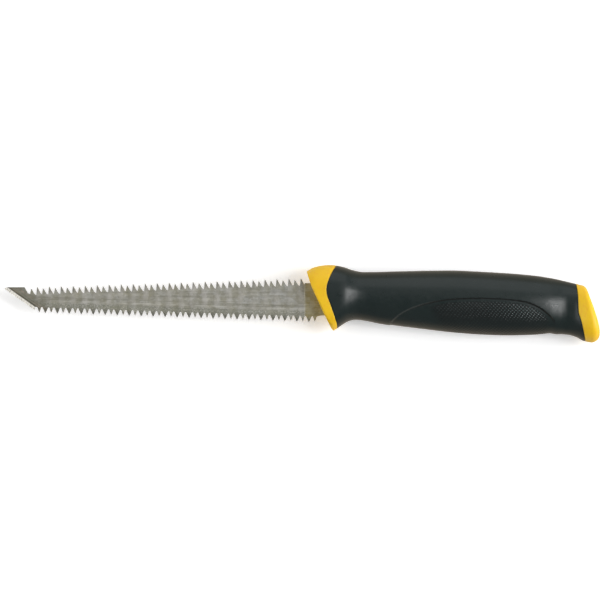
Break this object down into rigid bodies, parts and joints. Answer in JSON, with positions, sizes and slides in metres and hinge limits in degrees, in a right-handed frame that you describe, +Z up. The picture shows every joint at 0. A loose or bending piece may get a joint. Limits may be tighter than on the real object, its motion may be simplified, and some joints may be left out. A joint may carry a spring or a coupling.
{
  "type": "drywall saw",
  "caption": "Hand saw for cutting plasterboard, with a pointed blade toothed along both edges and a moulded handle with a soft grip.",
  "frame": {"origin": "centre of the overall box in X and Y, on the surface that the saw lies on", "axes": "+X runs along the saw from the blade's point to the butt; +Y points to the thumb edge of the handle; +Z is up, square to the blade's flat, as the saw lies on its side"},
  "size_m": [0.2886, 0.0376, 0.026],
  "materials": {
    "steel": "ground sheet steel, satin, with a bare olive-tinted heel",
    "hard_plastic": "satin moulded yellow plastic",
    "soft_plastic": "satin black overmoulded soft grip with a diamond-textured panel on each side"
  },
  "bodies": {
    "root": {"blade": "steel", "handle_core": "hard_plastic", "soft_grip": "soft_plastic"}
  },
  "joints": []
}
